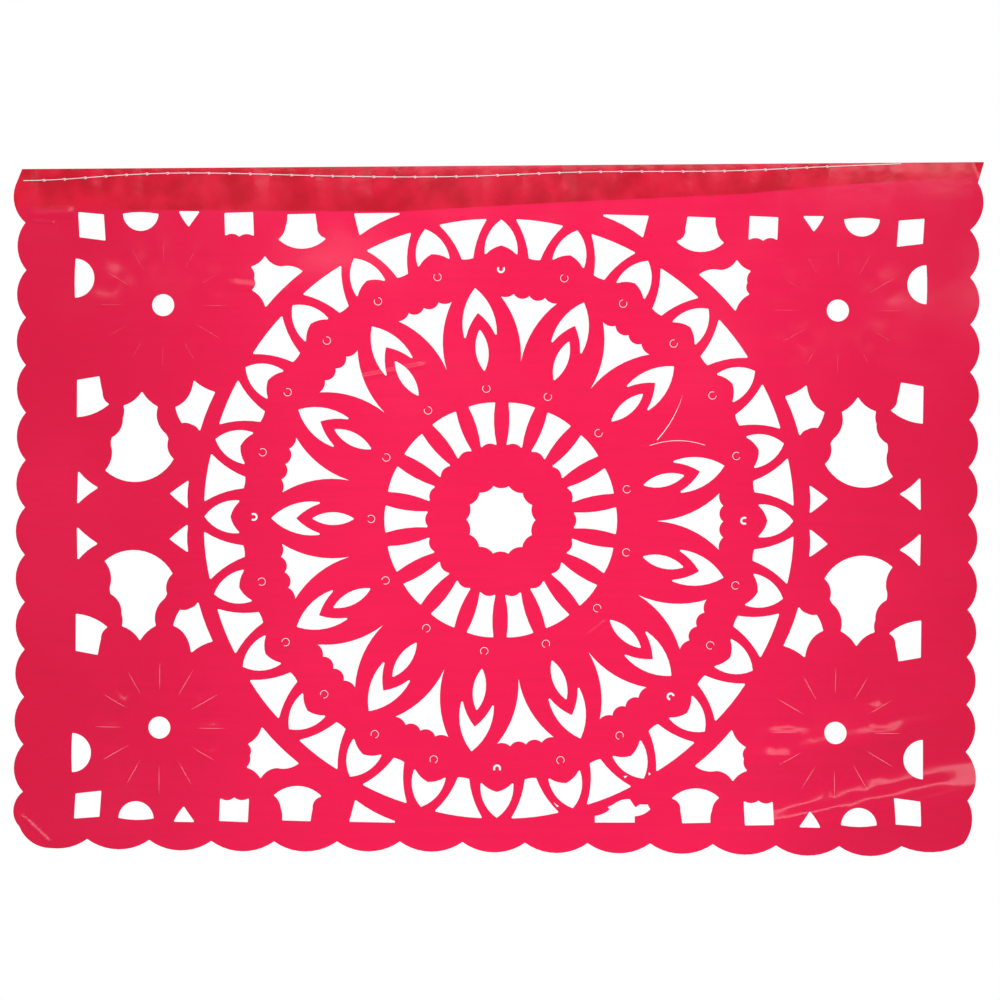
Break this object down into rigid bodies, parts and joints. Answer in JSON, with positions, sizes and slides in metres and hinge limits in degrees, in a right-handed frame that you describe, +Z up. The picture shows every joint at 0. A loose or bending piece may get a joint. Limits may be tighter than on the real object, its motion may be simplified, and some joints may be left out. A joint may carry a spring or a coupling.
{
  "type": "papel picado banner",
  "caption": "Rectangular cut-out party banner of thin pink plastic film with scalloped edges, a lace-like pattern and a sewn top hem, made to hang flat.",
  "frame": {"origin": "middle of the top fold, at its highest line", "axes": "+X along the banner's width to the viewer's right, +Z up, the front faces -Y"},
  "size_m": [0.4539, 0.0016, 0.3249],
  "materials": {
    "film": "glossy, slightly see-through fuchsia film",
    "thread": "white twisted sewing thread"
  },
  "bodies": {
    "root": {"banner_sheet": "film", "needle_thread": "thread", "bobbin_thread": "thread"}
  },
  "joints": []
}
